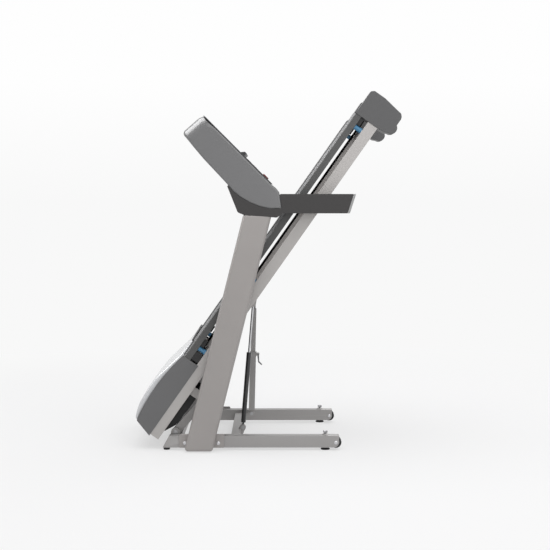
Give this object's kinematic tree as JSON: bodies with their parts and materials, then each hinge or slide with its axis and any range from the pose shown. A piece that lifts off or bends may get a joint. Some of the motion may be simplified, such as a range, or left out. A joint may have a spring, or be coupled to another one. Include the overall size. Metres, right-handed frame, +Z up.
{
  "type": "folding treadmill",
  "caption": "Folding home treadmill stored upright: lean-back masts, sloping console and handrails, deck with belt, motor hood, lift frame, gas strut and lock tube.",
  "frame": {"origin": "middle of the box round the stored machine, on the floor", "axes": "+Z up, +X from the motor end's floor tips towards the end where the runner steps on, +Y to the runner's right"},
  "size_m": [1.132, 0.864, 1.5238],
  "materials": {
    "mast_paint": "satin powder coat",
    "base_paint": "satin powder coat",
    "deck_paint": "satin powder coat",
    "steel": "zinc plated",
    "strut_black": "gloss",
    "motor_black": "satin",
    "black_rubber": "matte",
    "belt_rubber": "fine diamond weave",
    "cushion_blue": "soft",
    "board": "waxed laminate",
    "rail_plastic": "fine grain",
    "hood_dark": "fine grain",
    "hood_silver": "silver paint",
    "black_plastic": "fine grain",
    "console_grey": "satin",
    "panel_dark": "satin",
    "charcoal": "fine grain",
    "end_cap_grey": "satin",
    "lens": "smoked gloss",
    "circuit": "solder mask",
    "key_grey": "satin",
    "key_green": "satin",
    "key_red": "satin"
  },
  "bodies": {
    "base": {"base_rail_left": "base_paint", "base_rail_right": "base_paint", "front_crossmember": "base_paint", "mid_crossmember": "base_paint", "front_feet": "black_rubber", "base_bolts": "steel", "mast_left": "mast_paint", "mast_right": "mast_paint", "console_frame": "base_paint", "console_shell": "console_grey", "console_face": "panel_dark", "display_lens": "lens", "display_board": "circuit", "handrail_left": "charcoal", "handrail_right": "charcoal", "arm_end_caps": "end_cap_grey"},
    "leveller_left": {"leveller_left": "black_rubber"},
    "leveller_right": {"leveller_right": "black_rubber"},
    "wheel_left": {"transport_wheel_left": "black_rubber"},
    "wheel_right": {"transport_wheel_right": "black_rubber"},
    "fan": {"fan_rotor": "black_plastic"},
    "safety_key": {"safety_key": "key_red"},
    "pivot_shaft": {"pivot_shaft": "steel"},
    "lift_frame": {"lift_frame": "base_paint"},
    "deck": {"deck_frame": "deck_paint", "roller_axles": "steel", "running_board": "board", "running_belt": "belt_rubber", "deck_cushions": "cushion_blue", "rear_caps": "hood_dark", "rear_feet": "black_rubber", "drive_motor": "motor_black", "drive_belt": "black_rubber", "control_board": "circuit", "belly_pan": "black_plastic", "hood_base": "hood_dark", "hood_cover": "hood_silver", "hood_rear_lip": "black_plastic", "power_inlet": "black_plastic", "foot_rail_left": "rail_plastic", "foot_rail_right": "rail_plastic"},
    "front_roller": {"front_roller": "steel"},
    "rear_roller": {"rear_roller": "steel"},
    "motor_rotor": {"motor_rotor": "motor_black"},
    "power_switch": {"power_switch": "black_plastic"},
    "incline_actuator": {"incline_motor": "motor_black"},
    "incline_screw": {"incline_tube": "steel"},
    "gas_pin": {"gas_pin": "steel"},
    "gas_cylinder": {"gas_cylinder": "strut_black"},
    "gas_rod": {"gas_rod": "steel"},
    "lock_pin": {"lock_pin": "steel"},
    "lock_outer": {"lock_tube_outer": "base_paint"},
    "lock_inner": {"lock_tube_inner": "steel"},
    "latch_lever": {"latch_lever": "base_paint"},
    "start_button": {"start_button": "key_green"},
    "stop_button": {"stop_button": "key_red"},
    "speed_up_button": {"speed_up_button": "key_grey"},
    "speed_down_button": {"speed_down_button": "key_grey"},
    "incline_up_button": {"incline_up_button": "key_grey"},
    "incline_down_button": {"incline_down_button": "key_grey"}
  },
  "joints": [
    {"name": "incline", "type": "hinge", "parent": "base", "child": "pivot_shaft", "pos_m": [-0.39647, 0, 0.067], "axis": [0, -1, 0], "range_deg": [0, 30]},
    {"name": "fold", "type": "hinge", "parent": "pivot_shaft", "child": "lift_frame", "pos_m": [-0.39647, 0, 0.067], "axis": [0, 1, 0], "range_deg": [0, 56.28]},
    {"name": "deck_tilt", "type": "hinge", "parent": "lift_frame", "child": "deck", "pos_m": [-0.27032, 0, 0.20908], "axis": [0, 1, 0], "range_deg": [0, 33.99]},
    {"name": "gas_lean", "type": "hinge", "parent": "base", "child": "gas_pin", "pos_m": [-0.11147, -0.114, 0.055], "axis": [0, -1, 0], "range_deg": [0, 10.96]},
    {"name": "gas_swing", "type": "hinge", "parent": "gas_pin", "child": "gas_cylinder", "pos_m": [-0.11147, -0.114, 0.055], "axis": [0, 1, 0], "range_deg": [0, 79.24]},
    {"name": "gas_stroke", "type": "slide", "parent": "gas_cylinder", "child": "gas_rod", "axis": [0.0824, 0, 0.9966], "range_m": [-0.20428, 0]},
    {"name": "lock_lean", "type": "hinge", "parent": "base", "child": "lock_pin", "pos_m": [-0.07947, 0.27, 0.055], "axis": [0, -1, 0], "range_deg": [0, 12.01]},
    {"name": "lock_swing", "type": "hinge", "parent": "lock_pin", "child": "lock_outer", "pos_m": [-0.07947, 0.27, 0.055], "axis": [0, 1, 0], "range_deg": [0, 81.94]},
    {"name": "lock_stroke", "type": "slide", "parent": "lock_outer", "child": "lock_inner", "axis": [0.0247, 0, 0.9997], "range_m": [-0.23437, 0]},
    {"name": "latch_pedal", "type": "hinge", "parent": "lock_outer", "child": "latch_lever", "pos_m": [-0.04848, 0.27, 0.33732], "axis": [0, 1, 0], "range_deg": [0, 15], "stiffness_Nm_per_rad": 6, "springref_deg": -8.59},
    {"name": "incline_motor_nod", "type": "hinge", "parent": "deck", "child": "incline_actuator", "pos_m": [-0.44337, 0.1, 0.11591], "axis": [0, 1, 0], "range_deg": [0, 6.67]},
    {"name": "incline_screw_travel", "type": "slide", "parent": "incline_actuator", "child": "incline_screw", "axis": [0.6338, 0, 0.7735], "range_m": [-0.03996, 0]},
    {"name": "belt_drive", "type": "hinge", "parent": "deck", "child": "front_roller", "pos_m": [-0.31515, 0, 0.40231], "axis": [0, 1, 0], "continuous": true},
    {"name": "rear_roller_turn", "type": "hinge", "parent": "deck", "child": "rear_roller", "pos_m": [0.42043, 0, 1.44739], "axis": [0, 1, 0], "continuous": true},
    {"name": "motor_turn", "type": "hinge", "parent": "deck", "child": "motor_rotor", "pos_m": [-0.43233, -0.225, 0.20108], "axis": [0, 1, 0], "continuous": true},
    {"name": "power_rocker", "type": "hinge", "parent": "deck", "child": "power_switch", "pos_m": [-0.52148, -0.182, 0.09874], "axis": [0, 1, 0], "range_deg": [0, 11]},
    {"name": "wheel_left_roll", "type": "hinge", "parent": "base", "child": "wheel_left", "pos_m": [0.29103, -0.35, 0.033], "axis": [0, 1, 0], "continuous": true},
    {"name": "leveller_left_screw", "type": "slide", "parent": "base", "child": "leveller_left", "axis": [0, 0, 1], "range_m": [-0.0044, 0]},
    {"name": "wheel_right_roll", "type": "hinge", "parent": "base", "child": "wheel_right", "pos_m": [0.29103, 0.35, 0.033], "axis": [0, 1, 0], "continuous": true},
    {"name": "leveller_right_screw", "type": "slide", "parent": "base", "child": "leveller_right", "axis": [0, 0, 1], "range_m": [-0.0044, 0]},
    {"name": "start_press", "type": "slide", "parent": "base", "child": "start_button", "axis": [-0.7071, 0, -0.7071], "range_m": [0, 0.0016], "stiffness_N_per_m": 1500, "springref_m": -0.0006},
    {"name": "stop_press", "type": "slide", "parent": "base", "child": "stop_button", "axis": [-0.7071, 0, -0.7071], "range_m": [0, 0.0016], "stiffness_N_per_m": 1500, "springref_m": -0.0006},
    {"name": "speed_up_press", "type": "slide", "parent": "base", "child": "speed_up_button", "axis": [-0.7071, 0, -0.7071], "range_m": [0, 0.0016], "stiffness_N_per_m": 1500, "springref_m": -0.0006},
    {"name": "speed_down_press", "type": "slide", "parent": "base", "child": "speed_down_button", "axis": [-0.7071, 0, -0.7071], "range_m": [0, 0.0016], "stiffness_N_per_m": 1500, "springref_m": -0.0006},
    {"name": "incline_up_press", "type": "slide", "parent": "base", "child": "incline_up_button", "axis": [-0.7071, 0, -0.7071], "range_m": [0, 0.0016], "stiffness_N_per_m": 1500, "springref_m": -0.0006},
    {"name": "incline_down_press", "type": "slide", "parent": "base", "child": "incline_down_button", "axis": [-0.7071, 0, -0.7071], "range_m": [0, 0.0016], "stiffness_N_per_m": 1500, "springref_m": -0.0006},
    {"name": "safety_key_pull", "type": "slide", "parent": "base", "child": "safety_key", "axis": [0.7071, 0, 0.7071], "range_m": [0, 0.012]},
    {"name": "fan_turn", "type": "hinge", "parent": "base", "child": "fan", "pos_m": [-0.06815, 0, 1.22068], "axis": [0.7071, 0, 0.7071], "continuous": true}
  ],
  "couplings": [
    {"joint": "deck_tilt", "follows": "incline", "ratio": 1.1329},
    {"joint": "gas_lean", "follows": "incline", "ratio": 0.36533},
    {"joint": "gas_swing", "follows": "fold", "ratio": 1.4078},
    {"joint": "gas_stroke", "follows": "fold", "m_per_rad": -0.20794},
    {"joint": "lock_lean", "follows": "incline", "ratio": 0.40042},
    {"joint": "lock_swing", "follows": "fold", "ratio": 1.4558},
    {"joint": "lock_stroke", "follows": "fold", "m_per_rad": -0.23857},
    {"joint": "incline_motor_nod", "follows": "incline", "ratio": 0.22245},
    {"joint": "incline_screw_travel", "follows": "incline", "m_per_rad": -0.076305},
    {"joint": "rear_roller_turn", "follows": "belt_drive", "ratio": 1},
    {"joint": "motor_turn", "follows": "belt_drive", "ratio": 1.3333}
  ]
}
